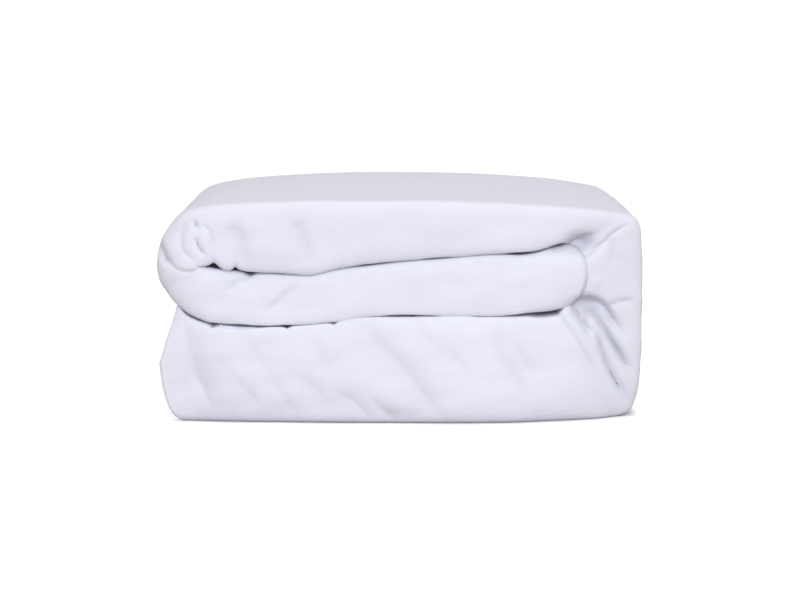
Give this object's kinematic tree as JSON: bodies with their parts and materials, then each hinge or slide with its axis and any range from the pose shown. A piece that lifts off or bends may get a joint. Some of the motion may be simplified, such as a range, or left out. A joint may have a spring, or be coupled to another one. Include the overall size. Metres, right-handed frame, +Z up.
{
  "type": "folded mattress protector",
  "caption": "Fitted mattress protector in soft white cloth, folded into a thick strip and rolled over itself into a flat block with its end tucked in.",
  "frame": {"origin": "middle of the underside, on the surface the folded cloth lies on", "axes": "+X to the right along the front, +Y from the smooth front towards the back with its open folds, +Z up"},
  "size_m": [0.3439, 0.2446, 0.1593],
  "materials": {
    "cloth": "soft brushed knit, matt"
  },
  "bodies": {
    "root": {"protector_cloth": "cloth"}
  },
  "joints": []
}
